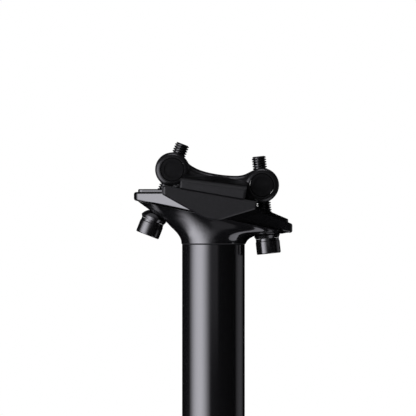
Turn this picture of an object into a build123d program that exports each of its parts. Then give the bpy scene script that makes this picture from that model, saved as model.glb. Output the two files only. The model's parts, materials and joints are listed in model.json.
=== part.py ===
from build123d import *
import os
from math import atan2, cos, pi, radians, sin, sqrt, tan

# Bicycle seatpost with a two-bolt saddle clamp. Millimetres, +Z up along the tube, +X to the front of the
# bicycle, +Y to its left. The origin is the centre of the tube's lower end.

# Tube
POST_LENGTH = 300.0         # lower end of the tube to the middle of the saddle's rails
TUBE_OD = 26.0
TUBE_WALL = 2.0
TUBE_END_CHAMFER = 0.6

# Saddle rails
RAIL_D = 7.0
RAIL_SPACING = 44.0         # centre to centre
RAIL_HEIGHT = 20.75         # middle of the rails above the top of the tube
RAIL_SLOPE = 9.85           # degrees, down to the front, square to the tube being 0

# Head
NECK_STEP = 0.35            # how far the neck stands proud of the tube
NECK_GROOVE = 0.4           # chamfer of the neck's lower edge, over the tube's end
SPIGOT_LENGTH = 32.0
BOND_GAP = 0.05             # glue line between the spigot and the tube
NECK_BORE_D = 16.0
NECK_BORE_DEPTH = 4.5       # how far the bore goes up past the top of the tube
HEAD_REAR = 32.9            # reach of the rear arm from the axis of the tube
HEAD_FRONT = 32.7           # reach of the front arm
HEAD_WIDTH = 28.0           # across the middle
ARM_END_WIDTH = 16.4        # across the end of an arm
SHOULDER_LENGTH = 12.0      # full-width stretch in the middle
SHOULDER_RADIUS = 14.0
ARM_CORNER_RADIUS = 2.2
DECK_EDGE_RADIUS = 1.0
REAR_DECK_TOP = 21.7        # heights above the top of the tube
FRONT_DECK_TOP = 14.65      # at FRONT_DECK_X
FRONT_DECK_X = 17.9
FRONT_DECK_SLOPE = 22.7     # degrees, down to the front
FLANK_LOW_EDGE = 11.4       # lower edge of the flank over the axis of the tube
FLANK_SLOPE = 11.8          # degrees, down to the front
PAD_RISE = 1.2              # raised pads round the bolt slots
PAD_INSET = 2.2             # from the side of the arm
PAD_END_INSET = 1.7         # from the end of the arm
PAD_EDGE_RADIUS = 0.5

# Neck, from the tube up: rear point, front point (x, height), half width, corner (from the end, half width)
NECK_SECTIONS = [
    ((-14.0, 3.1), (16.3, 3.1), 13.4, (3.9, 9.6)),
    ((-17.8, 7.4), (22.5, 4.1), 13.45, (3.4, 8.6)),
    ((-27.0, 14.4), (28.6, 4.45), 13.55, (2.6, 7.0)),
    ((-31.9, 18.0), (31.9, 4.9), 13.7, (1.6, 6.8)),
]

# Curved seat on which the cradle rocks
SEAT_X = 0.8
SEAT_AXIS_HEIGHT = 22.85    # above the top of the tube
SEAT_R = 11.0
SEAT_GAP = 0.25             # running gap of the cradle and of the ball washers
TILT_DOWN = 3.5             # degrees the front of the saddle can go down from here
TILT_UP = 3.0               # degrees it can go up

# Cradle
CRADLE_REAR = 21.0          # along the rails, from the axis of the tube
CRADLE_FRONT = 18.4
CRADLE_WIDTH = 53.0
CRADLE_REAR_EDGE = 3.7      # height of the end of the flange
CRADLE_FRONT_EDGE = 3.1
CRADLE_DEPTH = 11.6         # rails to the lower corner of the flange, before it is rounded
CRADLE_LOW_X = 1.4          # place of that corner along the rails
CRADLE_LOW_RADIUS = 11.0
CRADLE_CORNER_RADIUS = 1.6
CRADLE_SIDE_GAP = 0.6       # between the flank of the head and the flange
CRADLE_BEVEL = 0.6

# Upper clamp
JAW_GAP = 0.2               # between the jaws and the cradle
BOSS_SPAN = 37.5            # between the two bosses
BOSS_R = 7.1
BOSS_WIDTH = 32.0
BOSS_RIM_RADIUS = 2.0
BOSS_HEIGHT = 7.1           # axis of the bosses above the rails
CLAMP_OFFSET = 0.35         # middle of the clamp along the rails
JAW_LENGTH = 27.4
JAW_OFFSET = -0.8           # middle of the jaws from the middle of the clamp
JAW_CORNER_RADIUS = 1.2
JAW_FACE_REAR = 2.3         # height of the flat outer face at its rear end
JAW_FACE_FRONT = 3.5
CREST_HEIGHT = 8.4          # top of the bridge above the rails
CREST = [                   # outline of the bridge's top between the bosses, along and above the rails
    (-14.95, 13.0), (-12.05, 10.45), (-8.85, 9.2), (-2.2, 8.4),
    (6.0, 8.85), (11.0, 10.25), (12.9, 11.6), (14.6, 12.8),
]
CREST_EDGE_RADIUS = 2.4
ROOF_SHOULDER_DROP = 1.2    # roof of the jaws below the crest, over the edge of the bridge
ROOF_RISE = 2.4             # roof above the crest in the middle, cut away again by the hollow of the bridge
BRIDGE_WIDTH = 28.0
BRIDGE_UNDERSIDE = 3.2      # above the rails
HOLLOW_WIDTH = 33.0         # free width under the bridge, between the jaws
HOLLOW_REAR = 14.6          # reach of that free room from the middle of the clamp
HOLLOW_FRONT = 13.7
WEB_GAP = 0.6               # under the webs that join the bosses to the bridge
JAW_ROOF_WALL = 1.9         # over the rails
BOSS_RELIEF_GAP = 0.3       # between the rear boss at its lowest and the arm

# Barrel nuts
NUT_D = 9.8
NUT_RADIAL_GAP = 0.08
NUT_END_GAP = 0.15          # how far the nut's ends lie inside the boss
NUT_RECESS_D = 6.9
NUT_RECESS_DEPTH = 0.5
NUT_CHAMFER = 0.3

# Bolts and ball washers
BOLT_D = 6.0
BOLT_LENGTH = 40.6          # with its head
BOLT_HEAD_D = 10.0
BOLT_HEAD_LENGTH = 5.35
BOLT_NECK_D = 9.6
BOLT_NECK_LENGTH = 1.0
BOLT_EDGE = 0.5
SOCKET_FLATS = 5.0
SOCKET_DEPTH = 3.0
THREAD_RADIAL_GAP = 0.08    # between the bolt and the nut
WASHER_RADIAL_GAP = 0.15    # between the bolt and the washer
WASHER_END_GAP = 0.05       # between the bolt's neck and the washer
BALL_R = 6.0
WASHER_RIM_D = 10.8
WASHER_BACK_D = 9.6
WASHER_CONE_LENGTH = 1.2
SLOT_SIDE_GAP = 0.4         # between the bolt and its slot
SLOT_PLAY = 1.5             # degrees that a bolt can lean past its use each way
POCKET_PLAY = 4.0           # how far a head's pocket reaches past the head
BOLT_TIP_GAP = 1.7          # beyond the tip, where it swings into the bridge, taken in or let out by a tilt
POCKET_SIDE_GAP = 0.35      # between the washer's rim and its pocket
REAR_BOLT_ANGLE = 21.3      # degrees from straight down, turned towards the rear
FRONT_BOLT_ANGLE = -6.0
REAR_BOLT_REACH = 29.05     # nut to the end of the bolt's head
FRONT_BOLT_REACH = 28.5
REAR_SWING = 95.0           # degrees the rear bolt swings out
FRONT_OPENING = 55.0        # degrees the clamp turns about the front nut when it opens

# Places worked out from the sizes above, in the frame of the head: its zero height is the top of the tube
TUBE_LENGTH = POST_LENGTH - RAIL_HEIGHT
TUBE_BORE_R = TUBE_OD / 2 - TUBE_WALL
NECK_R = TUBE_OD / 2 + NECK_STEP
RAIL_Y = RAIL_SPACING / 2
RAIL_R = RAIL_D / 2
RAIL_FRAME = Plane(
    origin=(0, 0, RAIL_HEIGHT),
    x_dir=(cos(radians(RAIL_SLOPE)), 0, -sin(radians(RAIL_SLOPE))),
    z_dir=(sin(radians(RAIL_SLOPE)), 0, cos(radians(RAIL_SLOPE))),
).location
TO_TUBE_TOP = Pos(0, 0, TUBE_LENGTH)
REAR_BOSS_X = CLAMP_OFFSET - BOSS_SPAN / 2
FRONT_BOSS_X = CLAMP_OFFSET + BOSS_SPAN / 2
BALL_FROM_END = BOLT_HEAD_LENGTH + BOLT_NECK_LENGTH + WASHER_END_GAP + WASHER_CONE_LENGTH
BALL_FROM_END = BALL_FROM_END - sqrt(BALL_R**2 - (WASHER_RIM_D / 2) ** 2)
FULL = 200.0                # longer than the head in every direction
RADIAN = pi / 180


def on_rails(along, above):
    """Point (x, z) of the head's frame for a point given along and above the rails."""
    point = (RAIL_FRAME * Pos(along, 0, above)).position
    return point.X, point.Z


REAR_NUT = on_rails(REAR_BOSS_X, BOSS_HEIGHT)
FRONT_NUT = on_rails(FRONT_BOSS_X, BOSS_HEIGHT)


def bolt_line(nut, angle):
    """Location with its origin at the nut's centre and +Z pointing down the bolt, towards its head."""
    return Pos(nut[0], 0, nut[1]) * Rot(0, 180 + angle, 0)


def across(face_points, half_width):
    """Prism over a closed outline of (x, z) points, as wide as half_width on both sides of the middle."""
    outline = make_face(Polyline(*[(x, 0, z) for x, z in face_points], close=True))
    return extrude(outline, amount=half_width, dir=(0, 1, 0), both=True)


def swept_rod(nut, radius, near, far, angle_from, angle_to):
    """Room that a rod takes up as it swings about a nut: a rod at each end and a sector between them."""
    rod = Pos(0, 0, near) * Cylinder(radius, far - near, align=(Align.CENTER, Align.CENTER, Align.MIN))
    room = bolt_line(nut, angle_from) * rod
    room += bolt_line(nut, angle_to) * rod
    corners = [(0, -radius, near), (0, radius, near), (0, radius, far), (0, -radius, far)]
    blade = make_face(Polyline(*corners, close=True))
    blade = bolt_line(nut, angle_from) * blade
    axis = Axis((nut[0], 0, nut[1]), (0, 1, 0))
    room += revolve(blade, axis=axis, revolution_arc=angle_to - angle_from)
    return room


def swept_ball(nut, radius, distance, angle_from, angle_to):
    """Room that a ball takes up as it swings about a nut at a distance: a bent groove with round ends."""
    ball = Pos(0, 0, distance) * Sphere(radius)
    room = bolt_line(nut, angle_from) * ball
    room += bolt_line(nut, angle_to) * ball
    ring = Plane(origin=(0, 0, distance), x_dir=(0, 1, 0), z_dir=(1, 0, 0)) * Circle(radius)
    ring = bolt_line(nut, angle_from) * ring
    axis = Axis((nut[0], 0, nut[1]), (0, 1, 0))
    room += revolve(ring, axis=axis, revolution_arc=angle_to - angle_from)
    return room


# Tube
def post_tube():
    tube = Cylinder(TUBE_OD / 2, TUBE_LENGTH, align=(Align.CENTER, Align.CENTER, Align.MIN))
    tube -= Cylinder(TUBE_BORE_R, FULL * 4)
    bore_end = tube.edges().group_by(Axis.Z)[0].sort_by(SortBy.RADIUS)[:1]
    return chamfer(bore_end, TUBE_END_CHAMFER)


# Head
def flank_low_edge(x):
    return FLANK_LOW_EDGE - x * tan(radians(FLANK_SLOPE))


def front_deck_top(x):
    return FRONT_DECK_TOP - (x - FRONT_DECK_X) * tan(radians(FRONT_DECK_SLOPE))


def arm_plan(inset, end_inset):
    """Outline of both arms seen from above, drawn in by inset at the sides and end_inset at the ends."""
    middle = HEAD_WIDTH / 2 - inset
    end = ARM_END_WIDTH / 2 - inset
    half = [(-HEAD_REAR + end_inset, end), (-SHOULDER_LENGTH / 2, middle)]
    half += [(SHOULDER_LENGTH / 2, middle), (HEAD_FRONT - end_inset, end)]
    other = [(x, -y) for x, y in reversed(half)]
    plan = make_face(Polyline(*half, *other, close=True))
    corners = plan.vertices().sort_by(Axis.X)
    plan = fillet(corners[:2] + corners[-2:], ARM_CORNER_RADIUS)
    shoulders = [v for v in plan.vertices() if abs(abs(v.X) - SHOULDER_LENGTH / 2) < 0.01]
    return fillet(shoulders, SHOULDER_RADIUS)


def arm_top(rise):
    """Side outline of what lies above the flanks' lower edge, with the top raised by rise."""
    slope = tan(radians(FRONT_DECK_SLOPE))
    front_rise = rise / cos(radians(FRONT_DECK_SLOPE))
    knee = FRONT_DECK_X + (FRONT_DECK_TOP + front_rise - REAR_DECK_TOP - rise) / slope
    rear = -HEAD_REAR - 1
    front = HEAD_FRONT + 1
    low = [(rear, flank_low_edge(rear)), (front, flank_low_edge(front))]
    rear_top = REAR_DECK_TOP + rise
    top = [(front, front_deck_top(front) + front_rise), (knee, rear_top), (rear, rear_top)]
    return low + top


def neck_section(rear, front, half_width, corner):
    """Smooth closed outline through a rear and a front point, on the plane through both and across."""
    span = Vector(front[0] - rear[0], 0, front[1] - rear[1])
    plane = Plane(origin=(rear[0], 0, rear[1]), x_dir=span, z_dir=span.cross(Vector(0, 1, 0)))
    length = span.length
    middle = length * -rear[0] / (front[0] - rear[0])
    half = [corner, (middle, half_width), (length - corner[0], corner[1])]
    other = [(x, -y) for x, y in reversed(half)]
    outline = Spline((0, 0), *half, (length, 0), *other, periodic=True)
    return plane * make_face(outline)


def neck_flare():
    """Neck that leaves the tube as a circle and spreads into the undersides of both arms."""
    half = NECK_R * cos(radians(45))
    sections = [neck_section((-NECK_R, 0), (NECK_R, 0), NECK_R, (NECK_R - half, half))]
    for section in NECK_SECTIONS:
        sections.append(neck_section(*section))
    neck = loft(sections)
    return chamfer(neck.edges().group_by(Axis.Z)[0], NECK_GROOVE)


def head_pads():
    """Raised pads on both arms, through which the bolts pass."""
    pads = extrude(arm_plan(PAD_INSET, PAD_END_INSET), amount=FULL / 2, both=True)
    pads &= across(arm_top(PAD_RISE), HEAD_WIDTH)
    return fillet(pads.faces().filter_by(lambda f: f.normal_at().Z > 0.5).edges(), PAD_EDGE_RADIUS)


def neck_bore():
    """Blind bore from below, through the spigot into the neck, with a domed end."""
    bore = Pos(0, 0, NECK_BORE_DEPTH) * Cylinder(
        NECK_BORE_D / 2, SPIGOT_LENGTH + FULL, align=(Align.CENTER, Align.CENTER, Align.MAX)
    )
    return fillet(bore.edges().group_by(Axis.Z)[-1], NECK_BORE_D / 4)


def bolt_room(nut, reach, inner_angle, outer_angle):
    """Slot, ball seat and head pocket that one bolt needs in its arm, swept between two angles."""
    ball = reach - BALL_FROM_END
    rim = ball - sqrt(BALL_R**2 - (WASHER_RIM_D / 2) ** 2)
    room = swept_rod(nut, BOLT_D / 2 + SLOT_SIDE_GAP, 0, reach, inner_angle, outer_angle)
    room += swept_ball(nut, BALL_R + SEAT_GAP, ball, inner_angle, outer_angle)
    pocket = WASHER_RIM_D / 2 + POCKET_SIDE_GAP
    room += swept_rod(nut, pocket, rim - SEAT_GAP, reach + POCKET_PLAY, inner_angle, outer_angle)
    return room


def post_head():
    deck = extrude(arm_plan(0, 0), amount=FULL / 2, both=True)
    deck &= across(arm_top(0), HEAD_WIDTH)
    head = fillet(deck.edges(), DECK_EDGE_RADIUS)
    head += neck_flare()
    head += head_pads()
    spigot = Cylinder(TUBE_BORE_R - BOND_GAP, SPIGOT_LENGTH, align=(Align.CENTER, Align.CENTER, Align.MAX))
    head += chamfer(spigot.edges().group_by(Axis.Z)[0], TUBE_END_CHAMFER)
    head -= neck_bore()
    seat_axis = Pos(SEAT_X, 0, SEAT_AXIS_HEIGHT)
    head -= seat_axis * Rot(90, 0, 0) * Cylinder(SEAT_R, FULL)
    low_boss = seat_axis * Rot(0, -TILT_UP, 0) * seat_axis.inverse() * Pos(REAR_NUT[0], 0, REAR_NUT[1])
    head -= low_boss * Rot(90, 0, 0) * Cylinder(BOSS_R + BOSS_RELIEF_GAP, BOSS_WIDTH)
    rear_sweep = (REAR_BOLT_ANGLE - TILT_UP - SLOT_PLAY, REAR_BOLT_ANGLE + REAR_SWING + TILT_DOWN)
    front_sweep = (FRONT_BOLT_ANGLE - SLOT_PLAY, FRONT_BOLT_ANGLE + SLOT_PLAY)
    head -= bolt_room(REAR_NUT, REAR_BOLT_REACH, *rear_sweep)
    head -= bolt_room(FRONT_NUT, FRONT_BOLT_REACH, *front_sweep)
    return TO_TUBE_TOP * head


# Cradle
def rail_grooves():
    """Rods that stand for both saddle rails, in the frame of the rails."""
    rod = Rot(0, 90, 0) * Cylinder(RAIL_R, FULL)
    return Pos(0, -RAIL_Y, 0) * rod + Pos(0, RAIL_Y, 0) * rod


def lower_cradle():
    corners = [(-CRADLE_REAR, 0), (-CRADLE_REAR, -CRADLE_REAR_EDGE), (CRADLE_LOW_X, -CRADLE_DEPTH)]
    corners += [(CRADLE_FRONT, -CRADLE_FRONT_EDGE), (CRADLE_FRONT, 0)]
    flange = across(corners, CRADLE_WIDTH / 2)
    upright = flange.edges().filter_by(Axis.Y)
    flange = fillet(upright.sort_by(Axis.Z)[:1], CRADLE_LOW_RADIUS)
    upright = flange.edges().filter_by(Axis.Y)
    ends = [e for e in upright if e.center().Z < -1 and abs(e.center().X) > CRADLE_FRONT - 1]
    flange = fillet(ends, CRADLE_CORNER_RADIUS)
    flange = chamfer(flange.faces().filter_by(Axis.Y).edges(), CRADLE_BEVEL)
    inner = HEAD_WIDTH / 2 + CRADLE_SIDE_GAP
    flange -= Box(FULL, 2 * inner, FULL)
    seat = (RAIL_FRAME.inverse() * Pos(SEAT_X, 0, SEAT_AXIS_HEIGHT)).position
    hub = Pos(seat.X, 0, seat.Z) * Rot(90, 0, 0) * Cylinder(SEAT_R - SEAT_GAP, 2 * inner)
    hub -= Box(FULL, FULL, FULL, align=(Align.CENTER, Align.CENTER, Align.MIN))
    cradle = flange + hub - rail_grooves()
    return TO_TUBE_TOP * RAIL_FRAME * cradle


# Upper clamp
def jaw_section():
    """Section of the jaws and the roof across the rails, wider than high."""
    edge = CRADLE_WIDTH / 2
    face = (JAW_FACE_REAR + JAW_FACE_FRONT) / 2
    over_rail = RAIL_R + JAW_ROOF_WALL
    shoulder = BRIDGE_WIDTH / 2
    roof = Spline(
        (0, edge, face), (0, RAIL_Y, over_rail), (0, shoulder, CREST_HEIGHT - ROOF_SHOULDER_DROP),
        (0, 0, CREST_HEIGHT + ROOF_RISE),
        tangents=[(0, -0.3, 1), (0, -1, 0)],
    )
    other = roof.mirror(Plane.XZ)
    floor = Polyline((0, edge, face), (0, edge, -2), (0, -edge, -2), (0, -edge, face))
    return make_face([roof, other, floor])


def above_crest():
    """Everything above the outline of the bridge's top."""
    curve = Spline(*[(x, 0, z) for x, z in CREST])
    (rear, low), (front, other) = CREST[0], CREST[-1]
    rest = Polyline((front, 0, other), (front, 0, FULL), (rear, 0, FULL), (rear, 0, low))
    return extrude(make_face([curve, rest]), amount=FULL, dir=(0, 1, 0), both=True)


def upper_clamp():
    lean = Rot(0, -atan2(JAW_FACE_FRONT - JAW_FACE_REAR, JAW_LENGTH) / RADIAN, 0)
    jaws = lean * extrude(jaw_section(), amount=JAW_LENGTH, dir=(1, 0, 0), both=True)
    plan = extrude(RectangleRounded(JAW_LENGTH, CRADLE_WIDTH, JAW_CORNER_RADIUS), amount=FULL)
    jaws = Pos(JAW_OFFSET, 0, 0) * (jaws & Pos(0, 0, JAW_GAP) * plan)
    top = CREST[0][1]
    bridge = Pos(0, 0, JAW_GAP) * Box(
        BOSS_SPAN, BRIDGE_WIDTH, top - JAW_GAP, align=(Align.CENTER, Align.CENTER, Align.MIN)
    )
    over_crest = above_crest()
    bridge -= over_crest
    crest_edges = [e for e in bridge.edges() if e.length > CRADLE_REAR and e.center().Z > BOSS_HEIGHT]
    bridge = fillet([e for e in crest_edges if e.geom_type == GeomType.BSPLINE], CREST_EDGE_RADIUS)
    body = jaws - over_crest + bridge
    hollow = Box(HOLLOW_REAR + HOLLOW_FRONT, HOLLOW_WIDTH, 2 * BRIDGE_UNDERSIDE)
    body -= Pos((HOLLOW_FRONT - HOLLOW_REAR) / 2, 0, 0) * hollow
    body -= Box(FULL, HOLLOW_WIDTH, 2 * WEB_GAP)
    boss = Rot(90, 0, 0) * Cylinder(BOSS_R, BOSS_WIDTH)
    boss = fillet(boss.edges().filter_by(GeomType.CIRCLE), BOSS_RIM_RADIUS)
    for side in (-1, 1):
        body += Pos(side * BOSS_SPAN / 2, 0, BOSS_HEIGHT) * boss
    body = Pos(CLAMP_OFFSET, 0, 0) * body - rail_grooves()
    body = RAIL_FRAME * body
    slot = BOLT_D / 2 + SLOT_SIDE_GAP
    play = TILT_DOWN + SLOT_PLAY
    sweeps = [
        (REAR_NUT, REAR_BOLT_REACH, REAR_BOLT_ANGLE - play, REAR_BOLT_ANGLE + REAR_SWING),
        (FRONT_NUT, FRONT_BOLT_REACH, FRONT_BOLT_ANGLE - FRONT_OPENING, FRONT_BOLT_ANGLE + play),
    ]
    for nut, reach, inner_angle, outer_angle in sweeps:
        tip = BOLT_LENGTH - reach + BOLT_TIP_GAP
        body -= swept_rod(nut, slot, 0, BOSS_R + BOSS_HEIGHT, inner_angle, outer_angle)
        body -= swept_rod(nut, slot, 0, tip, inner_angle + 180, outer_angle + 180)
        bore = Pos(nut[0], 0, nut[1]) * Rot(90, 0, 0) * Cylinder(NUT_D / 2 + NUT_RADIAL_GAP, FULL)
        body -= bore
    return TO_TUBE_TOP * body


# Barrel nuts
def barrel_nut(nut, angle):
    """Round bar across the clamp with a shallow recess in each end and a tapped hole for its bolt."""
    length = BOSS_WIDTH - 2 * NUT_END_GAP
    bar = chamfer(Cylinder(NUT_D / 2, length).edges().filter_by(GeomType.CIRCLE), NUT_CHAMFER)
    for side in (-1, 1):
        bar -= Pos(0, 0, side * length / 2) * Cylinder(NUT_RECESS_D / 2, 2 * NUT_RECESS_DEPTH)
    bar = Pos(nut[0], 0, nut[1]) * Rot(90, 0, 0) * bar
    bar -= bolt_line(nut, angle) * Cylinder(BOLT_D / 2 + THREAD_RADIAL_GAP, FULL)
    return TO_TUBE_TOP * bar


# Bolts
def bolt(nut, angle, reach):
    """Socket head bolt, drawn with its head's end at zero and its tip below."""
    head = BOLT_HEAD_D / 2
    neck = BOLT_NECK_D / 2
    shank = BOLT_D / 2
    under_head = -BOLT_HEAD_LENGTH
    under_neck = under_head - BOLT_NECK_LENGTH
    outline = Polyline(
        (0, 0, 0), (head - BOLT_EDGE, 0, 0), (head, 0, -BOLT_EDGE), (head, 0, under_head + BOLT_EDGE / 2),
        (head - BOLT_EDGE / 2, 0, under_head), (neck, 0, under_head), (neck, 0, under_neck),
        (shank, 0, under_neck), (shank, 0, BOLT_EDGE - BOLT_LENGTH), (shank - BOLT_EDGE, 0, -BOLT_LENGTH),
        (0, 0, -BOLT_LENGTH), close=True,
    )
    screw = revolve(make_face(outline), axis=Axis.Z)
    socket = Pos(0, 0, -SOCKET_DEPTH) * RegularPolygon(SOCKET_FLATS / 2, 6, major_radius=False)
    screw -= extrude(socket, amount=SOCKET_DEPTH + 1)
    return TO_TUBE_TOP * bolt_line(nut, angle) * Pos(0, 0, reach) * screw


def ball_washer(nut, angle, reach):
    """Washer with a ball face towards the arm, drawn round the centre of the ball."""
    hole = BOLT_D / 2 + WASHER_RADIAL_GAP
    rim = WASHER_RIM_D / 2
    rim_z = -sqrt(BALL_R**2 - rim**2)
    nose_z = -sqrt(BALL_R**2 - hole**2)
    middle = (hole + rim) / 2
    back_z = rim_z + WASHER_CONE_LENGTH
    face = ThreePointArc((rim, 0, rim_z), (middle, 0, -sqrt(BALL_R**2 - middle**2)), (hole, 0, nose_z))
    rest = Polyline((hole, 0, nose_z), (hole, 0, back_z), (WASHER_BACK_D / 2, 0, back_z), (rim, 0, rim_z))
    washer = revolve(make_face([face, rest]), axis=Axis.Z)
    return TO_TUBE_TOP * bolt_line(nut, angle) * Pos(0, 0, reach - BALL_FROM_END) * washer


def main():
    os.makedirs("parts", exist_ok=True)
    front = (FRONT_NUT, FRONT_BOLT_ANGLE)
    rear = (REAR_NUT, REAR_BOLT_ANGLE)
    nodes = {
        "post_tube": post_tube(),
        "post_head": post_head(),
        "lower_cradle": lower_cradle(),
        "upper_clamp": upper_clamp(),
        "front_barrel_nut": barrel_nut(*front),
        "rear_barrel_nut": barrel_nut(*rear),
        "front_bolt": bolt(*front, FRONT_BOLT_REACH),
        "rear_bolt": bolt(*rear, REAR_BOLT_REACH),
        "front_washer": ball_washer(*front, FRONT_BOLT_REACH),
        "rear_washer": ball_washer(*rear, REAR_BOLT_REACH),
    }
    for name, solid in nodes.items():
        export_step(solid, f"parts/{name}.step")


main()
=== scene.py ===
"""Looks of a bicycle seatpost with a two-bolt saddle clamp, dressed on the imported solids."""
import json
from math import atan2, cos, pi, radians, sin

import bpy
import numpy as np
from bpy.props import FloatProperty, FloatVectorProperty, IntProperty, PointerProperty
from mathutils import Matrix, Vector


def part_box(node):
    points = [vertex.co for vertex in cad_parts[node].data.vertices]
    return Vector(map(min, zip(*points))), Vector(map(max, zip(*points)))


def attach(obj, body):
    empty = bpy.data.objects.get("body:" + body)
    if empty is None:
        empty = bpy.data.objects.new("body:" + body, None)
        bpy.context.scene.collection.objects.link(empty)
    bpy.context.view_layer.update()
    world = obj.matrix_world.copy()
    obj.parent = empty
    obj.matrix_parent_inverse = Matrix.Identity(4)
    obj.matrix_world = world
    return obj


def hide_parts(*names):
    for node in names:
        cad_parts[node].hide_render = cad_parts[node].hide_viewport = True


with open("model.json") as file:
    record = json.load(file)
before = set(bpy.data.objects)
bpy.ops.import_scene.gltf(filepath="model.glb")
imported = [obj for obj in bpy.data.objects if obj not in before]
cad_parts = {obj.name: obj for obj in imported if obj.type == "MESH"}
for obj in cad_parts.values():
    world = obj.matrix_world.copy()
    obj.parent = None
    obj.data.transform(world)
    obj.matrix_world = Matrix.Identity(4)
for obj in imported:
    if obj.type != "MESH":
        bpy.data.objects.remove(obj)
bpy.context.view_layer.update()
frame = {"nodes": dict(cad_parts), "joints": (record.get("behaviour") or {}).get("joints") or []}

bl_info = {
    "name": "Two-bolt seatpost",
    "version": (1, 0, 0),
    "blender": (4, 5, 0),
    "location": "View3D > Sidebar > Seatpost",
    "description": "Dresses the solids of a bicycle seatpost and sets a studio round them",
    "category": "Add Mesh",
}

MM = 0.001
JOINTS = {joint["name"]: joint for joint in frame["joints"]}
HEAD_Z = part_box("post_tube")[1][2]      # top of the tube, where the head starts


# Shader maths
class Sock:
    """A shader socket that takes part in Python expressions; each operator adds one Math node."""

    def __init__(self, tree, socket):
        self.tree = tree
        self.socket = socket

    def math(self, operation, *values):
        return self.tree.add("ShaderNodeMath", {"operation": operation}, values).out(0)

    def __add__(self, other):
        return self.math("ADD", self, other)

    __radd__ = __add__

    def __sub__(self, other):
        return self.math("SUBTRACT", self, other)

    def __rsub__(self, other):
        return self.math("SUBTRACT", other, self)

    def __mul__(self, other):
        return self.math("MULTIPLY", self, other)

    __rmul__ = __mul__

    def __pow__(self, other):
        return self.math("POWER", self, other)

    def __abs__(self):
        return self.math("ABSOLUTE", self)

    def most(self, other):
        return self.math("MAXIMUM", self, other)

    def ramp(self, low, high):
        """Smooth step from 0 at low to 1 at high."""
        settings = {"interpolation_type": "SMOOTHSTEP"}
        return self.tree.add("ShaderNodeMapRange", settings, (self, low, high)).out(0)

    def band(self, rise, fall):
        """1 between two borders, each a (low, high) pair that it crosses in a smooth step."""
        return self.ramp(*rise) * (1.0 - self.ramp(*fall))


class Node:
    """A node of a tree, whose outputs are read by number or name."""

    def __init__(self, tree, node):
        self.tree = tree
        self.node = node

    def out(self, key):
        return Sock(self.tree, self.node.outputs[key])


def set_stops(elements, stops):
    """Gives a fresh colour ramp its (place, grey) stops, in order from place 0 to place 1."""
    for place, _ in stops[1:-1]:
        elements.new(place)
    for element, (_, grey) in zip(elements, stops):
        element.color = (grey, grey, grey, 1.0)


class Tree:
    """Node tree of a material or world, emptied first."""

    def __init__(self, owner):
        owner.use_nodes = True
        self.nodes = owner.node_tree.nodes
        self.links = owner.node_tree.links
        self.nodes.clear()

    def add(self, kind, settings=None, values=()):
        """Adds a node, sets its settings, such as a ramp's stops, then fills its sockets by order or name."""
        node = self.nodes.new(kind)
        for key, value in (settings or {}).items():
            if key == "stops":
                set_stops(node.color_ramp.elements, value)
            else:
                setattr(node, key, value)
        pairs = values.items() if isinstance(values, dict) else enumerate(values)
        for key, value in pairs:
            socket = node.inputs[key]
            if isinstance(value, Sock):
                self.links.new(value.socket, socket)
            elif value is not None:
                socket.default_value = value
        return Node(self, node)

    def place(self, stretch=(1.0, 1.0, 1.0)):
        """Object coordinates multiplied by stretch."""
        coords = self.add("ShaderNodeTexCoord").out("Object")
        return self.add("ShaderNodeMapping", {}, {"Vector": coords, "Scale": stretch}).out(0)

    def axes(self, vector):
        """The three numbers of a vector."""
        split = self.add("ShaderNodeSeparateXYZ", {}, (vector,))
        return split.out(0), split.out(1), split.out(2)

    def noise(self, vector, scale, detail, rough=0.55):
        """Soft noise from 0 to 1, at scale spots a metre."""
        values = {"Vector": vector, "Scale": scale, "Detail": detail, "Roughness": rough}
        return self.add("ShaderNodeTexNoise", {}, values).out(0)

    def grains(self, vector, scale):
        """A random number from 0 to 1 for each grain, at scale grains a metre."""
        cells = self.add("ShaderNodeTexVoronoi", {"feature": "F1"}, {"Vector": vector, "Scale": scale})
        return self.axes(cells.out("Color"))[0]

    def tint(self, mask, dark, light):
        """Colour by the mask from dark, which may be a socket, to light."""
        start = dark if isinstance(dark, Sock) else (*dark, 1.0)
        values = {0: mask, 6: start, 7: (*light, 1.0)}
        return self.add("ShaderNodeMix", {"data_type": "RGBA"}, values).out(2)

    def stops(self, value, table):
        """A number read from a table of (value, result) pairs, straight between them."""
        low = table[0][0]
        span = table[-1][0] - low
        stops = [((at - low) / span, result) for at, result in table]
        ramp = self.add("ShaderNodeValToRGB", {"stops": stops}, ((value - low) * (1 / span),))
        return self.axes(ramp.out(0))[0]

    def bump(self, height, distance, normal=None):
        """Normal raised by the height, whose full swing is distance in metres, over a given normal."""
        values = {"Strength": 1.0, "Distance": distance, "Height": height, "Normal": normal}
        return self.add("ShaderNodeBump", {}, values).out(0)

    def facing(self):
        """Surface normal."""
        return self.add("ShaderNodeNewGeometry").out("Normal")

    def leaning(self, lean):
        """Surface normal leant by that much to the front."""
        push = self.add("ShaderNodeCombineXYZ", {}, (lean, 0.0, 0.0)).out(0)
        leant = self.add("ShaderNodeVectorMath", {"operation": "ADD"}, (self.facing(), push)).out(0)
        return self.add("ShaderNodeVectorMath", {"operation": "NORMALIZE"}, (leant,)).out(0)

    def finish(self, shader, kind="ShaderNodeOutputMaterial"):
        """Joins the last shader to the output."""
        self.add(kind, {}, {"Surface": shader})


def surface(name, build, constants):
    """Material with one principled shader: build gives its varying sockets, constants its plain ones."""
    material = bpy.data.materials.new(name)
    tree = Tree(material)
    values = dict(constants)
    values.update(build(tree))
    tree.finish(tree.add("ShaderNodeBsdfPrincipled", {}, values).out(0))
    return material


def brighter(colour, factor):
    """Colour times a factor."""
    return tuple(part * factor for part in colour)


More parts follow.
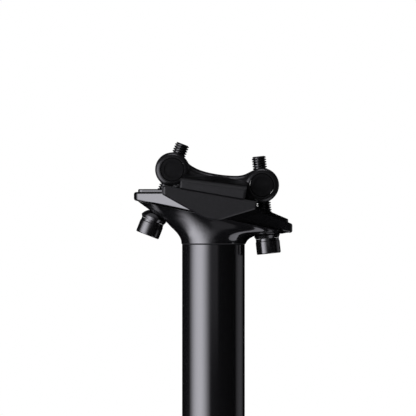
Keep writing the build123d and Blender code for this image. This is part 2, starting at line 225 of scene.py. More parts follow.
# Finishes. Scales are in spots a metre. Heights of flanks and foot are over the top of the tube.
PEEL_SCALE = 140.0          # orange peel of the gloss
DRAWN_SCALE = 2600.0        # drawn lines of the gloss, across the post
DRAWN_STRETCH = 0.03        # the same along the post, as a share
HAZE_SCALE = 30.0
HAZE_LIFT = 1.5             # haziest patch over the plain colour
GLOSS_DEPTH = 0.003 * MM
GLOSS = {"IOR": 1.5, "Coat Roughness": 0.06, "Coat IOR": 1.6}
FLANK_LOW = 11.4 * MM       # lower edge of the rear arm's flanks, at the post's axis
FLANK_EDGE_SLOPE = 0.209    # fall of that edge towards the front
FLANK_TOP = 21.7 * MM       # upper edge of the flanks
FLANK_BLUR = 0.1 * MM       # half the width in which a flank's border fades
FLANK_START = 4.0 * MM      # behind the post's axis, where the flanks start to turn
FLANK_FULL = 9.0 * MM       # where they have turned fully
FLANK_TAPER = 0.45          # slope of the flanks towards the end of the arm
FLANK_PAINTED_SHEEN = (0.116, 0.116, 0.116)    # share of light that the flanks mirror, set so that the lit flanks show a bright reflection: a painted sheen
NECK_FOOT = (0.35 * MM, 0.45 * MM)      # where the dull cut edge at the neck's foot ends
NECK_FOOT_ROUGH = 0.5
GRAIN_SCALE = 6500.0        # beads' marks of the blasting
SOFT_SCALE = 2400.0
SPARKLE = (0.86, 1.0)       # the grains that glint
GRAIN_DEPTH = 0.022 * MM
BLASTED_LIFT = 4.5          # brightest grain over the plain colour
REAR_RIM = ((0.5 * MM, 0.8 * MM), (1.3 * MM, 1.6 * MM))             # wide bevel, from the cradle's rear end
CUT_BEVEL = ((-0.7 * MM, -0.6 * MM), (-0.05 * MM, -0.01 * MM))      # bevels, from the cradle's outer face
RIM_LEAN = -0.42            # how far the wide bevel turns to the rear
LOOKING_UP = (0.1, 0.4)     # upward share of the normal at which a bevel counts as part of the top
BEVEL_POLISH = 0.38         # how much less rough the bevels are
JAW_FACE = (-2.4 * MM, -1.4 * MM)       # where the jaws' dull faces start, from the cradle's outer face
DRY = {"Specular IOR Level": 0.15, "Coat Weight": 0.0}
OILED = {"Specular IOR Level": 0.5, "Coat Weight": 1.0, "Coat Roughness": 0.08, "Coat IOR": 1.6}
RUBBED_SCALE = 420.0        # rubbed patches of the black oxide
RUBBED = (0.5, 0.75)        # noise that counts as rubbed
RUBBED_LIFT = 1.8           # rubbed over the plain colour
TURNED_SCALE = 1900.0       # its turning marks
TURNED_DEPTH = 0.002 * MM


def rear_flank(tree, here):
    """Mask of the rear arm's flanks: behind the post, over their sloping lower edge and under the deck."""
    x, _, z = tree.axes(here)
    low = HEAD_Z + FLANK_LOW
    top = HEAD_Z + FLANK_TOP
    over_edge = (z + x * FLANK_EDGE_SLOPE).ramp(low - FLANK_BLUR, low + FLANK_BLUR)
    deck = z.ramp(top - FLANK_BLUR, top + FLANK_BLUR)
    behind = (x * -1.0).ramp(FLANK_START, FLANK_FULL)
    return over_edge * behind * (1.0 - deck)


def gloss_anodised(name, colour, rough, forging=False):
    """Polished black anodising: faint drawn lines along the post, slow orange peel, hazy patches.

    On the forging, the rear arm's flanks turn towards its end, which the plain solid leaves out. There the
    base alone mirrors, without the coat, because only the base's normal may lean. Its mirrored share is a
    painted sheen that brightens the lit flanks. The cut edge at the neck's foot is dull."""

    def build(tree):
        here = tree.place()
        peel = tree.noise(here, PEEL_SCALE, 2.0)
        lines = tree.noise(tree.place((1.0, 1.0, DRAWN_STRETCH)), DRAWN_SCALE, 2.0)
        haze = tree.noise(here, HAZE_SCALE, 4.0)
        black = tree.tint(haze, colour, brighter(colour, HAZE_LIFT))
        roughness = rough + haze * 0.04 + lines * 0.03
        height = peel * 0.7 + lines * 0.3
        if not forging:
            normal = tree.bump(height, GLOSS_DEPTH)
            return {"Base Color": black, "Roughness": roughness, "Coat Weight": 1.0, "Normal": normal}
        # the flank mask also carries a painted sheen: there the base mirrors a brighter share of light
        flank = rear_flank(tree, here)
        over_tube = tree.axes(here)[2] - HEAD_Z
        foot = 1.0 - over_tube.ramp(*NECK_FOOT)
        return {
            "Base Color": tree.tint(flank, black, FLANK_PAINTED_SHEEN),
            "Metallic": flank,
            "Roughness": roughness + foot * NECK_FOOT_ROUGH,
            "Coat Weight": (1.0 - flank) * (1.0 - foot),
            "Normal": tree.bump(height, GLOSS_DEPTH, tree.leaning(flank * -FLANK_TAPER)),
        }

    return surface(name, build, GLOSS)


def blasting(tree, here):
    """Marks of bead blasting: their height, the share of glints and soft patches, all from 0 to 1."""
    grain = tree.grains(here, GRAIN_SCALE)
    soft = tree.noise(here, SOFT_SCALE, 3.0, 0.7)
    return grain * 0.5 + soft * 0.5, grain.ramp(*SPARKLE), soft


def blasted_anodised(name, colour, rough, face, rear_end):
    """Bead-blasted black anodising: a fine sparkling grain over a dull grey, and bright-cut bevels round the
    outer faces, which stand at the distance face from the middle. The bevel at the rear end is a wide one."""

    def build(tree):
        here = tree.place()
        x, y, _ = tree.axes(here)
        rim = (x - rear_end).band(*REAR_RIM)
        looking_up = tree.axes(tree.facing())[2].ramp(*LOOKING_UP)
        bevel = (abs(y) - face).band(*CUT_BEVEL) * (1.0 - looking_up)
        shine = bevel.most(rim)
        marks, sparkle, soft = blasting(tree, here)
        return {
            "Base Color": tree.tint(soft * 0.3 + sparkle * 0.5, colour, brighter(colour, BLASTED_LIFT)),
            "Roughness": rough - sparkle * 0.2 + soft * 0.1 - shine * BEVEL_POLISH,
            "Normal": tree.bump(marks * (1.0 - shine), GRAIN_DEPTH, tree.leaning(rim * RIM_LEAN)),
        }

    return surface(name, build, {"IOR": 1.5, "Specular IOR Level": 0.25})


def forged_anodised(name, colour, rough, face):
    """Satin black on the crest and bosses, turning to blasted grain on the outer faces of the jaws. face is
    the distance of the cradle's outer face from the middle."""

    def build(tree):
        here = tree.place()
        dull = (abs(tree.axes(here)[1]) - face).ramp(*JAW_FACE)
        marks, sparkle, soft = blasting(tree, here)
        grey = (soft * 0.3 + sparkle * 0.5) * (0.35 + dull * 0.65)
        return {
            "Base Color": tree.tint(grey, colour, brighter(colour, BLASTED_LIFT)),
            "Roughness": rough + dull * 0.3 + soft * 0.08,
            "Normal": tree.bump(marks * (0.3 + dull * 0.7), GRAIN_DEPTH),
        }

    return surface(name, build, {"IOR": 1.5, "Specular IOR Level": 0.4})


def black_oxide(name, colour, rough, film):
    """Black oxide steel with faint turning marks and rubbed patches; film is DRY or OILED."""

    def build(tree):
        here = tree.place()
        rubbed = tree.noise(here, RUBBED_SCALE, 4.0).ramp(*RUBBED)
        marks = tree.noise(here, TURNED_SCALE, 2.0)
        return {
            "Base Color": tree.tint(rubbed, colour, brighter(colour, RUBBED_LIFT)),
            "Roughness": rough + marks * 0.08,
            "Normal": tree.bump(marks, TURNED_DEPTH),
        }

    return surface(name, build, film)


# Meshes
SHARP_FORGED = radians(32)      # edges over this angle stay sharp
SHARP_TURNED = radians(35)
SHARP_CUT = radians(40)
SAME_PLACE = 7                  # decimals of a metre to which doubled points agree
DISC_RINGS = 5
DISC_COLUMNS = 96
WALL_COLUMNS = 48


def mesh_object(name, points, faces, sharp_angle=None):
    """Object at the origin from points in metres and faces; smooth, with the edges over sharp_angle sharp."""
    mesh = bpy.data.meshes.new(name)
    mesh.from_pydata(points, [], faces)
    mesh.update()
    mesh.shade_smooth()
    if sharp_angle is not None:
        mesh.set_sharp_from_angle(angle=sharp_angle)
    piece = bpy.data.objects.new(name, mesh)
    bpy.context.scene.collection.objects.link(piece)
    return piece


def ring_faces(rows, columns):
    """Quads of a grid of rings, closed round each ring; row i, column j is point i * columns + j."""
    row = np.arange(rows - 1)[:, None] * columns
    column = np.arange(columns)[None, :]
    beside = (column + 1) % columns
    quads = np.stack([row + column, row + beside, row + columns + beside, row + columns + column], axis=-1)
    return quads.reshape(-1, 4)


def full_turn(columns):
    """Angles of that many columns, evenly round a full turn."""
    return np.arange(columns) * 2 * pi / columns


def closed_turning(name, radius, height, to_world, sharp_angle):
    """Rings round an axis: row i, column j stands at radius[i, j] and height[i, j], at the column's angle.
    The first and the last ring close onto a pole each. to_world turns local points into the frame's."""
    rows, columns = radius.shape
    turn = full_turn(columns)
    local = np.stack([radius * np.cos(turn), radius * np.sin(turn), height], axis=-1).reshape(-1, 3)
    poles = np.array([[0, 0, height[0].mean()], [0, 0, height[-1].mean()]])
    points = to_world(np.vstack([local, poles]))
    ring = np.arange(columns)
    beside = (ring + 1) % columns
    last = (rows - 1) * columns
    first_pole = np.full(columns, rows * columns)
    first_fan = np.stack([first_pole, beside, ring], axis=-1)
    last_fan = np.stack([first_pole + 1, last + ring, last + beside], axis=-1)
    faces = ring_faces(rows, columns).tolist() + first_fan.tolist() + last_fan.tolist()
    return mesh_object(name, points.tolist(), faces, sharp_angle)


def node_triangles(node):
    """Points of a solid's mesh as an array, and the three point numbers of each triangle."""
    mesh = node.data
    mesh.calc_loop_triangles()
    points = np.empty(len(mesh.vertices) * 3)
    mesh.vertices.foreach_get("co", points)
    corners = np.empty(len(mesh.loop_triangles) * 3, dtype=np.int64)
    mesh.loop_triangles.foreach_get("vertices", corners)
    return points.reshape(-1, 3), corners.reshape(-1, 3)


def smooth_copy(node, name, sharp_angle):
    """Copy of a solid with its doubles merged, so that curved faces shade smoothly up to the real edges."""
    points, corners = node_triangles(node)
    merged, index = np.unique(np.round(points, SAME_PLACE), axis=0, return_inverse=True)
    corners = index.reshape(-1)[corners]
    first, second, third = corners.T
    whole = (first != second) & (second != third) & (first != third)
    piece = mesh_object(name, merged.tolist(), corners[whole].tolist(), sharp_angle)
    weigh = piece.modifiers.new("even shading", "WEIGHTED_NORMAL")
    weigh.mode = "FACE_AREA"
    weigh.keep_sharp = True
    return piece


SOCKET_CENTRE = 0.02            # innermost ring of the socket's floor, as a share of the socket
SOCKET_POINT = 0.2 * MM         # how much deeper the floor's middle is
SOCKET_RIM = 1.24               # countersink round the socket, in its apothems
COUNTERSINK = (0.35 * MM, 0.02 * MM)    # depth of its lower and upper ring
RIM_FLAT = 0.1 * MM
STEP = 0.01 * MM                # height in which a shoulder steps in
EDGE_STEPS = 6                  # rings of the head's round edge
THREAD_LEAD = 0.3 * MM          # plain shank over the first ring of the thread
ROOT_FLAT = 0.05                # half the root's flat, as a share of the pitch
RUNOUT = 1.2                    # pitches in which the thread fades in
TIP_CHAMFER = 1.1               # chamfer of the tip, in edge rounds


def hexagon(sizes):
    """Radius of a hexagon round the axis: the apothem over the cosine of the angle from the nearest flat."""
    from_flat = (full_turn(sizes.columns) + pi / 6) % (pi / 3) - pi / 6
    return sizes.socket_flats / 2 / np.cos(from_flat)


def bolt_head(sizes, end):
    """Rings from the middle of the socket out over the head and down to the thread. A ring is a radius, for
    all columns or for each, and a height; end is the height of the head's end."""
    socket = hexagon(sizes)
    rim = SOCKET_RIM * sizes.socket_flats / 2
    head = sizes.head_diameter / 2
    edge = sizes.edge
    under = end - sizes.head_length
    collar = under - sizes.neck_length
    rings = [
        (socket * SOCKET_CENTRE, end - sizes.socket_depth - SOCKET_POINT),
        (socket, end - sizes.socket_depth),
        (socket, end - COUNTERSINK[0]),
        (rim, end - COUNTERSINK[1]),
        (rim + RIM_FLAT, end),
        (head - edge, end),
    ]
    arc = np.linspace(0, pi / 2, EDGE_STEPS)[1:]
    rings += [(head - edge + edge * sin(a), end - edge + edge * cos(a)) for a in arc]
    rings += [
        (head, under + edge / 2),
        (head - edge / 2, under),
        (sizes.neck_diameter / 2, under - STEP),
        (sizes.neck_diameter / 2, collar),
        (sizes.shank_diameter / 2, collar - STEP),
        (sizes.shank_diameter / 2, end - sizes.thread_start + THREAD_LEAD),
    ]
    radius = np.array([np.broadcast_to(r, sizes.columns) for r, _ in rings])
    height = np.array([np.full(sizes.columns, z) for _, z in rings])
    return radius, height


def cut_thread(sizes, start, tip):
    """Rings of the thread from start down to the tip. A point's radius is the outer radius less the thread's
    depth times a flat-topped triangle wave of (height / pitch - turn / full turn), which makes a right-hand
    helix. The wave fades in over the runout, and a cone cuts the tip."""
    shank = sizes.shank_diameter / 2
    rows = int((start - tip) / sizes.pitch * sizes.rows_a_turn)
    level = np.linspace(start, tip, rows)[:, None]
    turn = np.arange(sizes.columns) / sizes.columns
    phase = ((level - tip) / sizes.pitch - turn[None, :]) % 1.0
    from_crest = np.minimum(phase, 1.0 - phase)
    crest = sizes.crest_flat / 2
    groove = np.clip((from_crest - crest) / (0.5 - crest - ROOT_FLAT), 0, 1)
    runout = np.clip((start - level) / (RUNOUT * sizes.pitch), 0, 1)
    thread = shank - groove * runout * sizes.thread_depth
    cone = shank - TIP_CHAMFER * sizes.edge + (level - tip)
    return np.minimum(thread, cone), np.repeat(level, sizes.columns, axis=1)


def bolt_surface(node, origin, axis, sizes, name):
    """Socket head bolt with a real thread, as long as the solid and on its axis."""
    origin = np.array(origin)
    axis = np.array(axis) / np.linalg.norm(axis)
    points, _ = node_triangles(node)
    along = (points - origin) @ axis
    end = along.max()
    head = bolt_head(sizes, end)
    thread = cut_thread(sizes, end - sizes.thread_start, along.min())
    radius, height = (np.vstack(parts) for parts in zip(head, thread))
    across = np.cross([0.0, 1.0, 0.0], axis)
    across = across / np.linalg.norm(across)
    third = np.cross(axis, across)

    def to_world(local):
        return origin + local[:, :1] * across + local[:, 1:2] * third + local[:, 2:] * axis

    return closed_turning(name, radius, height, to_world, SHARP_CUT)


def tube_surface(sizes, name):
    """Drawn tube: a closed profile (outside, ends with a small round, bore) carried round the post's axis."""
    low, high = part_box("post_tube")
    outer = (high[0] - low[0]) / 2
    inner = outer - sizes.wall
    edge = sizes.edge
    top_edge = edge / 3
    arc = np.linspace(0, pi / 2, 7)
    bottom = [(outer - edge + edge * sin(a), edge - edge * cos(a)) for a in arc]
    top = [(outer - top_edge + top_edge * cos(a), high[2] - top_edge + top_edge * sin(a)) for a in arc]
    side = [(outer, z) for z in np.linspace(edge, high[2] - top_edge, sizes.rows)[1:-1]]
    bore = [(inner, high[2]), (inner, 0.0)]
    profile = np.array(bottom + side + top + bore)
    turn = full_turn(sizes.columns)
    radius = profile[:, :1]
    height = np.repeat(profile[:, 1:], sizes.columns, axis=1)
    points = np.stack([radius * np.cos(turn), radius * np.sin(turn), height], axis=-1).reshape(-1, 3)
    faces = ring_faces(len(profile) + 1, sizes.columns) % (len(profile) * sizes.columns)
    return mesh_object(name, points.tolist(), faces.tolist(), SHARP_CUT)


def disc(name, radius, height, hole=0.0, facing=1, middle=(0.0, 0.0)):
    """Flat disc or ring of even rings of points round its middle; facing 1 looks up and -1 down."""
    turn = full_turn(DISC_COLUMNS) * facing
    reach = np.linspace(hole, radius, DISC_RINGS)[:, None]
    across = middle[0] + reach * np.cos(turn)
    deep = middle[1] + reach * np.sin(turn)
    points = np.stack([across, deep, np.full(across.shape, height)], axis=-1).reshape(-1, 3)
    faces = ring_faces(DISC_RINGS, DISC_COLUMNS)[:, ::-1]
    return mesh_object(name, points.tolist(), faces.tolist())


def prisms(name, outline, sides):
    """Two upright plates of one outline in X and Z, from sides[0] to sides[1] in Y and mirrored."""
    corners = len(outline)
    points, faces = [], []
    for near, far in (sides, (-sides[1], -sides[0])):
        first = len(points)
        points += [(x, y, z) for y in (near, far) for x, z in outline]
        faces.append(list(range(first, first + corners)))
        faces.append(list(range(first + 2 * corners - 1, first + corners - 1, -1)))
        for k in range(corners):
            after = (k + 1) % corners
            faces.append([first + k, first + k + corners, first + after + corners, first + after])
    return mesh_object(name, points, faces)


def wall(name, radius, low, high, from_azimuth, to_azimuth):
    """Upright part of a cylinder between two azimuths, which are degrees from the camera's side to the
    front."""
    azimuths = np.radians(np.linspace(from_azimuth, to_azimuth, WALL_COLUMNS))
    ring = np.stack([radius * np.sin(azimuths), -radius * np.cos(azimuths)], axis=-1)
    lower = np.hstack([ring, np.full((WALL_COLUMNS, 1), low)])
    upper = np.hstack([ring, np.full((WALL_COLUMNS, 1), high)])
    points = np.vstack([lower, upper])
    index = np.arange(WALL_COLUMNS - 1)
    faces = np.stack([index, index + 1, index + 1 + WALL_COLUMNS, index + WALL_COLUMNS], axis=-1)
    return mesh_object(name, points.tolist(), faces.tolist())


# What a user may change
def length(label, about, default):
    return FloatProperty(name=label, description=about, default=default, unit="LENGTH", precision=5)


def angle(label, about, default):
    return FloatProperty(name=label, description=about, default=default, subtype="ANGLE")


def colour(label, about, default):
    return FloatVectorProperty(
        name=label, description=about, default=default, subtype="COLOR", size=3, min=0, max=1
    )


def share(label, about, default):
    return FloatProperty(name=label, description=about, default=default, subtype="FACTOR", min=0, max=1)


def strength(label, about, default):
    return FloatProperty(name=label, description=about, default=default, min=0)


def count(label, about, default, least, most):
    return IntProperty(name=label, description=about, default=default, min=least, max=most)


class SeatpostFinishes(bpy.types.PropertyGroup):
    gloss_colour: colour("Gloss black", "Colour of the tube and the head", (0.0042, 0.0042, 0.0046))
    gloss_rough: share("Gloss roughness", "Roughness of the tube and the head", 0.16)
    matte_colour: colour("Matte black", "Colour of the blasted cradle", (0.0068, 0.0068, 0.0072))
    matte_rough: share("Matte roughness", "Roughness of the blasted cradle", 0.55)
    forged_colour: colour("Satin black", "Colour of the upper clamp", (0.0062, 0.0062, 0.0066))
    forged_rough: share("Satin roughness", "Roughness of the clamp's crest and bosses", 0.24)
    steel_colour: colour("Black oxide", "Colour of the bolts, nuts and washers", (0.0055, 0.0055, 0.0058))
    bolt_rough: share("Bolt roughness", "Roughness of the bolts and washers", 0.2)
    nut_rough: share("Nut roughness", "Roughness of the barrel nuts", 0.3)


class SeatpostTube(bpy.types.PropertyGroup):
    wall: length("Wall", "Thickness of the tube's wall", 2.0 * MM)
    edge: length("End round", "Round of the tube's lower edge", 0.6 * MM)
    rows: count("Rows", "Rings along the tube", 40, 8, 400)
    columns: count("Columns", "Points round the tube", 192, 24, 720)


class SeatpostBolt(bpy.types.PropertyGroup):
    shank_diameter: length("Thread diameter", "Outer diameter of the thread", 6.0 * MM)
    pitch: length("Pitch", "Rise of the thread in one turn", 1.0 * MM)
    crest_flat: share("Crest", "Flat crest's share of the pitch", 0.3)
    thread_depth: length("Thread depth", "Depth of the thread", 0.7 * MM)
    thread_start: length("Thread start", "End of the head to the first thread", 16.8 * MM)
    head_diameter: length("Head diameter", "Diameter of the head", 10.0 * MM)
    head_length: length("Head length", "Length of the head", 5.35 * MM)
    neck_diameter: length("Neck diameter", "Diameter of the collar under the head", 9.6 * MM)
    neck_length: length("Neck length", "Length of the collar under the head", 1.0 * MM)
    socket_flats: length("Socket", "Across the flats of the socket", 5.0 * MM)
    socket_depth: length("Socket depth", "Depth of the socket", 3.0 * MM)
    edge: length("Edge round", "Round of the head's outer edge and of the tip", 0.5 * MM)
    rows_a_turn: count("Rows a turn", "Rings in one pitch", 12, 6, 40)
    columns: count("Columns", "Points round the bolt", 72, 24, 360)


class SeatpostStage(bpy.types.PropertyGroup):
    photo_width: length("Width of the picture", "What the picture spans at the post's axis", 172.6 * MM)
    distance: length("Distance", "Camera to the post's axis", 2.5)
    camera_turn: angle("Camera turn", "Camera towards the front of the bicycle", radians(0.3))
    aim_x: length("Aim along", "Middle of the picture in front of the post's axis", -2.26 * MM)
    aim_up: length("Aim up", "Middle of the picture above the tube's top", 15.1 * MM)
    camera_up: length("Camera up", "Camera above the tube's top", 2.0 * MM)
    floor_colour: colour("Floor", "Colour of the floor", (0.8, 0.8, 0.8))
    softbox_strength: strength("Softbox", "Brightness of the left softbox and the low left card", 4.6)
    fill_strength: strength("Fill", "Brightness of the right fill card", 0.24)
    sky_strength: strength("Overhead", "Brightness of the overhead card", 3.4)
    patch_strength: strength("Low", "Brightness of the low right card", 1.2)
    room_light: share("Room light", "Plain light from all sides", 0.55)


# Webs between the bridge and the bosses, as outlines in X and Z
FRONT_WEB = [
    (12.9 * MM, HEAD_Z + 18.5 * MM),
    (12.9 * MM, HEAD_Z + 22.0 * MM),
    (18.2 * MM, HEAD_Z + 21.6 * MM),
    (18.2 * MM, HEAD_Z + 17.55 * MM),
]
REAR_WEB = [
    (-16.6 * MM, HEAD_Z + 23.1 * MM),
    (-16.6 * MM, HEAD_Z + 24.9 * MM),
    (-12.6 * MM, HEAD_Z + 24.7 * MM),
    (-12.6 * MM, HEAD_Z + 22.6 * MM),
]
WEB_SIDES = (14.3 * MM, 15.6 * MM)      # from the middle; outside the head, past which the clamp tilts


# Pieces of the post
class SEATPOST_OT_tube(bpy.types.Operator):
    """Drawn tube with a smooth round surface"""

    bl_idname = "seatpost.tube"
    bl_label = "Tube"

    def execute(self, context):
        finishes = context.scene.seatpost_finishes
        tube = tube_surface(context.scene.seatpost_tube, "drawn_tube")
        tube.data.materials.append(gloss_anodised("tube gloss", finishes.gloss_colour, finishes.gloss_rough))
        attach(tube, "post")
        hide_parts("post_tube")
        return {"FINISHED"}


class SEATPOST_OT_head(bpy.types.Operator):
    """Forged head with its two arms"""

    bl_idname = "seatpost.head"
    bl_label = "Head"

    def execute(self, context):
        finishes = context.scene.seatpost_finishes
        head = smooth_copy(frame["nodes"]["post_head"], "forged_head", SHARP_FORGED)
        gloss = gloss_anodised("head gloss", finishes.gloss_colour, finishes.gloss_rough, forging=True)
        head.data.materials.append(gloss)
        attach(head, "post")
        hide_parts("post_head")
        return {"FINISHED"}


class SEATPOST_OT_rail_clamp(bpy.types.Operator):
    """Rocking cradle and the upper clamp with its bosses, jaws and webs"""

    bl_idname = "seatpost.rail_clamp"
    bl_label = "Rail clamp"

    def execute(self, context):
        finishes = context.scene.seatpost_finishes
        nodes = frame["nodes"]
        low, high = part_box("lower_cradle")
        rear_end, face = low[0], high[1]
        cradle = smooth_copy(nodes["lower_cradle"], "rocking_cradle", SHARP_FORGED)
        matte = blasted_anodised(
            "cradle blasted", finishes.matte_colour, finishes.matte_rough, face, rear_end
        )
        cradle.data.materials.append(matte)
        clamp = smooth_copy(nodes["upper_clamp"], "forged_clamp", SHARP_FORGED)
        satin = forged_anodised("clamp forged", finishes.forged_colour, finishes.forged_rough, face)
        clamp.data.materials.append(satin)
        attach(cradle, "saddle_clamp")
        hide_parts("lower_cradle")
        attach(clamp, "saddle_clamp")
        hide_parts("upper_clamp")
        for name, outline in (("front_webs", FRONT_WEB), ("rear_webs", REAR_WEB)):
            webs = prisms(name, outline, WEB_SIDES)
            webs.data.materials.append(satin)
            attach(webs, "saddle_clamp")
        return {"FINISHED"}


class SEATPOST_OT_nuts_and_washers(bpy.types.Operator):
    """Barrel nuts in the bosses and ball washers under the arms"""

    bl_idname = "seatpost.nuts_and_washers"
    bl_label = "Nuts and washers"

    def execute(self, context):
        finishes = context.scene.seatpost_finishes
        nut = black_oxide("nut oxide", finishes.steel_colour, finishes.nut_rough, DRY)
        washer = black_oxide("washer oxide", finishes.steel_colour, finishes.bolt_rough, OILED)
        for side in ("front", "rear"):
            pieces = [
                (f"{side}_barrel_nut", f"{side}_nut_bar", f"{side}_nut", nut, "nut_black"),
                (f"{side}_washer", f"{side}_ball_ring", f"{side}_ball_washer", washer, "washer_black"),
            ]
            for node, name, body, finish, slot in pieces:
                piece = smooth_copy(frame["nodes"][node], name, SHARP_TURNED)
                piece.data.materials.append(finish)
                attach(piece, body)
                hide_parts(node)
        return {"FINISHED"}


class SEATPOST_OT_bolts(bpy.types.Operator):
    """Socket head bolts with a cut thread"""

    bl_idname = "seatpost.bolts"
    bl_label = "Bolts"

    def execute(self, context):
        finishes = context.scene.seatpost_finishes
        sizes = context.scene.seatpost_bolt
        finish = black_oxide("bolt oxide", finishes.steel_colour, finishes.bolt_rough, OILED)
        for side in ("front", "rear"):
            joint = JOINTS[f"{side}_bolt_turn"]
            node = frame["nodes"][f"{side}_bolt"]
            bolt = bolt_surface(node, joint["pos_m"], joint["axis"], sizes, f"{side}_threaded_bolt")
            bolt.data.materials.append(finish)
            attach(bolt, f"{side}_clamp_bolt")
            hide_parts(f"{side}_bolt")
        return {"FINISHED"}


# Stage. Lengths are in metres; azimuths are in degrees, 0 towards the camera and 90 to the front.
LEFT_SOFTBOX = [            # brightness of the left softbox over its azimuths
    (-100, 0.0), (-97, 0.035), (-86.4, 0.27), (-76.7, 0.60), (-67.7, 0.83), (-58, 0.97), (-50, 1.0),
    (-42, 0.93), (-35, 0.75), (-27.5, 0.51), (-20, 0.245), (-12.6, 0.08), (-6, 0.037), (13, 0.037),
    (20, 0.0), (22, 0.0),
]
RIGHT_FILL = [              # the same of the right fill
    (88, 0.0), (92, 0.5), (103, 1.0), (118, 1.0), (134, 0.3), (140, 0.0),
]
GLOW_COLOUR = (0.93, 0.92, 1.0)         # faint violet of the cards' light
CARD_REACH = 0.8                        # the post's axis to the upright cards
CARD_RISE = 0.3                         # their upper edge over the head's foot
LOW_CARD_Z = 0.006
LOW_CARD_HOLE = 0.2
LOW_CARD_FADE = (0.2, 0.5)              # distances over which the low left card brightens
LEFT_LOW_END = (-16.0, -8.0)            # azimuths at which the light under the head ends on the left
LEFT_LOW_TOP = (-0.08, -0.02)           # heights at which that light gives way to the whole softbox's
SKY_RADIUS = 0.2
SKY_RISE = 0.75                         # overhead card over the head's foot
SKY_MIDDLE = (0.0, -0.22)
PATCH_RADIUS = 0.14
PATCH_Z = 0.007
PATCH_MIDDLE = (0.18, -0.08)
DARK_REACH = 1.6                        # the post's axis to the dark curtain
DARK_RISE = 1.2                         # dark roof over the head's foot
DARK_FOOT = -0.01                       # lower edge of the curtain
DARK_TABLE_Z = 0.004
DARK_TABLE_HOLE = 0.016                 # clear of the tube
FLOOR_RADIUS = 3.0
FLOOR_Z = -0.0002                       # just under the tube's end
FLOOR_FADE = (0.35, 1.3)                # distances over which the floor fades into the white room
FLOOR_SPECKLE_SCALE = 900.0
FLOOR_DARKEST = 0.98                    # darkest speck, as a share of the floor's colour
FLOOR_ROUGH = 0.8
SENSOR_WIDTH = 36.0                     # in millimetres, as is the lens
CAMERA_SIGHT = 20.0


def glow(name, brightness, mask_of=None):
    """Emission of that brightness, times a mask worked out from the Object coordinates."""
    material = bpy.data.materials.new(name)
    tree = Tree(material)
    paint = tree.tint(mask_of(tree), (0.0, 0.0, 0.0), GLOW_COLOUR) if mask_of else (*GLOW_COLOUR, 1.0)
    tree.finish(tree.add("ShaderNodeEmission", {}, {"Color": paint, "Strength": brightness}).out(0))
    return material


def azimuth(tree):
    """Azimuth round the post."""
    x, y, _ = tree.axes(tree.place())
    return x.math("ARCTAN2", x, y * -1.0) * (180 / pi)


def away_from_post(tree):
    """Distance from the post's axis."""
    x, y, _ = tree.axes(tree.place())
    return (x * x + y * y) ** 0.5


def left_mask(tree):
    """The left softbox, whose part under the head ends sooner, so that the neck's middle stays dark."""
    turn = azimuth(tree)
    height = tree.axes(tree.place())[2] - HEAD_Z
    under = 1.0 - height.ramp(*LEFT_LOW_TOP)
    return tree.stops(turn, LEFT_SOFTBOX) * (1.0 - turn.ramp(*LEFT_LOW_END) * under)


def low_left_mask(tree):
    """The low left card, as the softbox's foot on the floor."""
    turn = azimuth(tree)
    near = away_from_post(tree).ramp(*LOW_CARD_FADE)
    return tree.stops(turn, LEFT_SOFTBOX) * (1.0 - turn.ramp(*LEFT_LOW_END)) * near


def right_mask(tree):
    """The right fill."""
    return tree.stops(azimuth(tree), RIGHT_FILL)


def seen_rays(tree):
    """1 for the camera's rays and for what gloss and glass show of the room, else 0."""
    path = tree.add("ShaderNodeLightPath")
    return path.out("Is Camera Ray").most(path.out("Is Glossy Ray")).most(path.out("Is Transmission Ray"))


def set_card(piece, material, lights):
    """Card of the stage, which the camera doesn't see and which throws no shadow. It lights the object, or is
    only mirrored by it."""
    piece.data.materials.append(material)
    piece.visible_camera = False
    piece.visible_diffuse = lights
    piece.visible_shadow = False


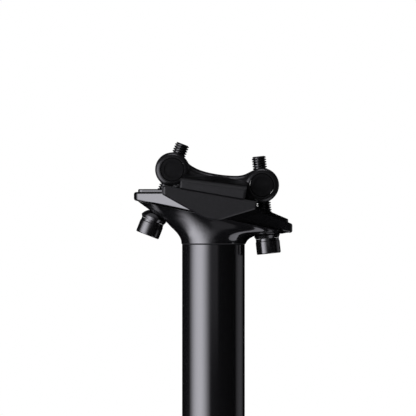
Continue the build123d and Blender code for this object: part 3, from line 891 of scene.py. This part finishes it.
class SEATPOST_OT_stage(bpy.types.Operator):
    """Pale floor, white surroundings, softboxes, dark cards and the camera"""

    bl_idname = "seatpost.stage"
    bl_label = "Stage"

    def execute(self, context):
        stage = context.scene.seatpost_stage
        self.room(context, stage)
        self.floor(stage)
        self.light_cards(stage)
        self.dark_cards()
        self.camera(context, stage)
        context.scene.view_settings.view_transform = "Standard"
        return {"FINISHED"}

    def room(self, context, stage):
        """World: white to the camera and in reflections, plain grey light to everything else."""
        world = bpy.data.worlds.new("studio room")
        context.scene.world = world
        tree = Tree(world)
        brightness = seen_rays(tree) * (1.0 - stage.room_light) + stage.room_light
        values = {"Color": (1, 1, 1, 1), "Strength": brightness}
        tree.finish(tree.add("ShaderNodeBackground", {}, values).out(0), "ShaderNodeOutputWorld")

    def floor(self, stage):
        """Pale disc that fades into the white of the room."""
        floor = disc("floor", FLOOR_RADIUS, FLOOR_Z)
        material = bpy.data.materials.new("floor paint")
        tree = Tree(material)
        speckle = tree.noise(tree.place(), FLOOR_SPECKLE_SCALE, 2.0)
        paint = tree.tint(speckle, brighter(stage.floor_colour, FLOOR_DARKEST), stage.floor_colour)
        matte = {"Base Color": paint, "Roughness": FLOOR_ROUGH}
        plain = tree.add("ShaderNodeBsdfPrincipled", {}, matte).out(0)
        white = tree.add("ShaderNodeEmission", {}, {"Color": (1, 1, 1, 1), "Strength": 1.0}).out(0)
        mask = away_from_post(tree).ramp(*FLOOR_FADE) * seen_rays(tree)
        tree.finish(tree.add("ShaderNodeMixShader", {}, (mask, plain, white)).out(0))
        floor.data.materials.append(material)

    def light_cards(self, stage):
        """Left softbox, right fill, overhead card, and a low card on either side."""
        card_top = HEAD_Z + CARD_RISE
        left_span = (LEFT_SOFTBOX[0][0], LEFT_SOFTBOX[-1][0])
        right_span = (RIGHT_FILL[0][0], RIGHT_FILL[-1][0])
        left = wall("left_softbox", CARD_REACH, LOW_CARD_Z, card_top, *left_span)
        fill = wall("right_fill", CARD_REACH, HEAD_Z - CARD_RISE, card_top, *right_span)
        sky = disc("overhead_card", SKY_RADIUS, HEAD_Z + SKY_RISE, facing=-1, middle=SKY_MIDDLE)
        low = disc("low_left_card", CARD_REACH, LOW_CARD_Z, hole=LOW_CARD_HOLE)
        patch = disc("low_right_card", PATCH_RADIUS, PATCH_Z, middle=PATCH_MIDDLE)
        set_card(left, glow("left softbox glow", stage.softbox_strength, left_mask), True)
        set_card(fill, glow("right fill glow", stage.fill_strength, right_mask), True)
        set_card(sky, glow("overhead glow", stage.sky_strength), True)
        set_card(low, glow("low left glow", stage.softbox_strength, low_left_mask), True)
        set_card(patch, glow("low right glow", stage.patch_strength), True)

    def dark_cards(self):
        """Black cards that only reflections see. Black gloss stays black where the room would show."""
        curtain = wall("dark_curtain", DARK_REACH, DARK_FOOT, HEAD_Z + DARK_RISE, -180, 180)
        table = disc("dark_table", DARK_REACH, DARK_TABLE_Z, hole=DARK_TABLE_HOLE)
        roof = disc("dark_roof", DARK_REACH, HEAD_Z + DARK_RISE, facing=-1)
        material = bpy.data.materials.new("black card")
        tree = Tree(material)
        tree.finish(tree.add("ShaderNodeEmission", {}, {"Color": (0, 0, 0, 1), "Strength": 0.0}).out(0))
        for card in (curtain, table, roof):
            set_card(card, material, False)

    def camera(self, context, stage):
        """Camera on the right-hand side, near the neck's height, with a long lens framed as the photo is."""
        data = bpy.data.cameras.new("side camera")
        data.sensor_width = SENSOR_WIDTH
        data.lens = SENSOR_WIDTH * stage.distance / stage.photo_width
        data.clip_end = CAMERA_SIGHT
        camera = bpy.data.objects.new("side camera", data)
        context.scene.collection.objects.link(camera)
        turn = stage.camera_turn
        camera.location = (
            stage.aim_x + stage.distance * sin(turn),
            -stage.distance * cos(turn),
            HEAD_Z + stage.camera_up,
        )
        pitch = atan2(stage.aim_up - stage.camera_up, stage.distance)
        camera.rotation_euler = (pi / 2 + pitch, 0.0, turn)
        context.scene.camera = camera


class SEATPOST_PT_panel(bpy.types.Panel):
    """Buttons that make each group of pieces"""

    bl_idname = "SEATPOST_PT_panel"
    bl_label = "Two-bolt seatpost"
    bl_space_type = "VIEW_3D"
    bl_region_type = "UI"
    bl_category = "Seatpost"

    def draw(self, context):
        column = self.layout.column(align=True)
        for operator in OPERATORS:
            column.operator(operator.bl_idname)
        for name, group in GROUPS:
            box = self.layout.box()
            box.label(text=name.replace("_", " "))
            for key in group.__annotations__:
                box.prop(getattr(context.scene, name), key)


GROUPS = [
    ("seatpost_finishes", SeatpostFinishes),
    ("seatpost_tube", SeatpostTube),
    ("seatpost_bolt", SeatpostBolt),
    ("seatpost_stage", SeatpostStage),
]
OPERATORS = [
    SEATPOST_OT_tube,
    SEATPOST_OT_head,
    SEATPOST_OT_rail_clamp,
    SEATPOST_OT_nuts_and_washers,
    SEATPOST_OT_bolts,
    SEATPOST_OT_stage,
]


def register():
    for name, group in GROUPS:
        bpy.utils.register_class(group)
        setattr(bpy.types.Scene, name, PointerProperty(type=group))
    for operator in OPERATORS:
        bpy.utils.register_class(operator)
    bpy.utils.register_class(SEATPOST_PT_panel)


def unregister():
    bpy.utils.unregister_class(SEATPOST_PT_panel)
    for operator in reversed(OPERATORS):
        bpy.utils.unregister_class(operator)
    for name, group in reversed(GROUPS):
        delattr(bpy.types.Scene, name)
        bpy.utils.unregister_class(group)


def main():
    register()
    bpy.ops.seatpost.tube()
    bpy.ops.seatpost.head()
    bpy.ops.seatpost.rail_clamp()
    bpy.ops.seatpost.nuts_and_washers()
    bpy.ops.seatpost.bolts()
    bpy.ops.seatpost.stage()


if __name__ == "__main__":
    main()
